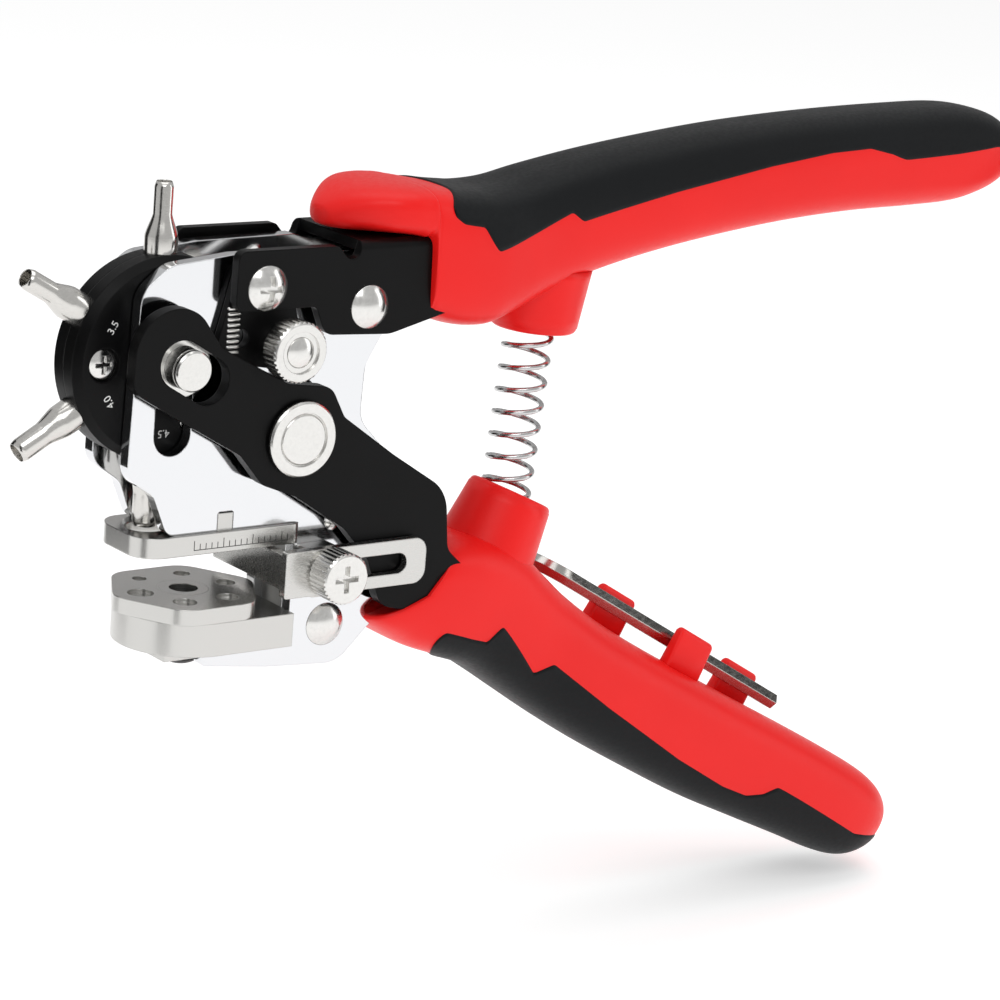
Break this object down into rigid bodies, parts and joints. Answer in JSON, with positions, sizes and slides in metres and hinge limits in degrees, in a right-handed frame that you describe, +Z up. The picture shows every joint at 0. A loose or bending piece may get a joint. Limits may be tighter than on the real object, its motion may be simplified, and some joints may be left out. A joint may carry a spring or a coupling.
{
  "type": "revolving hole punch pliers",
  "caption": "Hand-held revolving hole punch pliers: a turret of punch tubes is driven straight down onto an anvil, with a ruler guide and padded handles.",
  "frame": {"origin": "on the anvil's top face, under the punch tube that is turned down", "axes": "+X along the jaws to the handle ends, +Y to the rear side, +Z up from the anvil to the punch wheel"},
  "size_m": [0.256, 0.0378, 0.1773],
  "materials": {
    "mirror_plate": "polished bright plate",
    "black_steel": "satin black coating",
    "bright_steel": "polished",
    "satin_steel": "satin plated",
    "plain_steel": "as rolled",
    "red_plastic": "satin moulded",
    "black_rubber": "soft-touch moulded",
    "key_steel": "black oxide with bright edges"
  },
  "bodies": {
    "frame": {"side_plate_front": "mirror_plate", "side_plate_rear": "mirror_plate", "upper_channel": "black_steel", "channel_pads": "black_steel", "ear_spacer": "black_steel", "ear_screws": "bright_steel", "upper_core": "plain_steel", "channel_rivet": "bright_steel", "pivot_pins": "bright_steel", "jaw_block": "plain_steel", "jaw_rivets": "bright_steel", "anvil_block": "satin_steel", "anvil_screw": "black_steel", "stripper_plate": "satin_steel", "guide_rail": "satin_steel", "upper_grip": "red_plastic", "upper_cover": "black_rubber", "spring": "bright_steel"},
    "carriage": {"axle": "bright_steel", "axle_clip": "bright_steel", "axle_washer": "plain_steel"},
    "wheel": {"wheel_front": "black_steel", "wheel_rear": "black_steel", "wheel_screws": "bright_steel", "wheel_hub": "plain_steel", "punch_tube_45": "bright_steel", "punch_tube_40": "bright_steel", "punch_tube_35": "bright_steel", "punch_tube_30": "bright_steel", "punch_tube_25": "bright_steel", "punch_tube_20": "bright_steel"},
    "lever": {"lever_front": "black_steel", "lever_rear": "black_steel", "lever_core": "plain_steel", "lever_rivet": "plain_steel", "lower_grip": "red_plastic", "lower_cover": "black_rubber"},
    "latch": {"latch_plate": "black_steel", "latch_knob": "bright_steel", "latch_pin": "bright_steel"},
    "anvil": {"anvil_disc": "satin_steel", "anvil_insert": "satin_steel"},
    "guide": {"guide_bar": "satin_steel"},
    "thumb_screw": {"thumb_screw": "bright_steel"},
    "hex_key": {"hex_key": "key_steel"}
  },
  "joints": [
    {"name": "lever_pivot", "type": "hinge", "parent": "frame", "child": "lever", "pos_m": [0.027, 0, 0.0335], "axis": [0, -1, 0], "range_deg": [0, 26.3], "stiffness_Nm_per_rad": 3, "springref_deg": -11.46, "deforming": ["spring"]},
    {"name": "wheel_slide", "type": "slide", "parent": "frame", "child": "carriage", "axis": [0, 0, -1], "range_m": [0, 0.0141]},
    {"name": "wheel_spin", "type": "hinge", "parent": "carriage", "child": "wheel", "pos_m": [0, 0, 0.0496], "axis": [0, 1, 0], "continuous": true},
    {"name": "latch_swing", "type": "hinge", "parent": "frame", "child": "latch", "pos_m": [0.0175, -0.0095, 0.0648], "axis": [0, -1, 0], "range_deg": [0, 15]},
    {"name": "anvil_spin", "type": "hinge", "parent": "frame", "child": "anvil", "pos_m": [0.0102, 0, -0.0017], "axis": [0, 0, 1], "continuous": true},
    {"name": "guide_slide", "type": "slide", "parent": "frame", "child": "guide", "axis": [-1, 0, 0], "range_m": [0, 0.015]},
    {"name": "thumb_turn", "type": "hinge", "parent": "frame", "child": "thumb_screw", "pos_m": [0.035, -0.019, 0.0052], "axis": [0, -1, 0], "range_deg": [0, 270]},
    {"name": "key_lift", "type": "slide", "parent": "lever", "child": "hex_key", "axis": [0.5, 0, 0.866], "range_m": [0, 0.02]}
  ],
  "couplings": [
    {"joint": "wheel_slide", "follows": "lever_pivot", "m_per_rad": 0.0305}
  ]
}
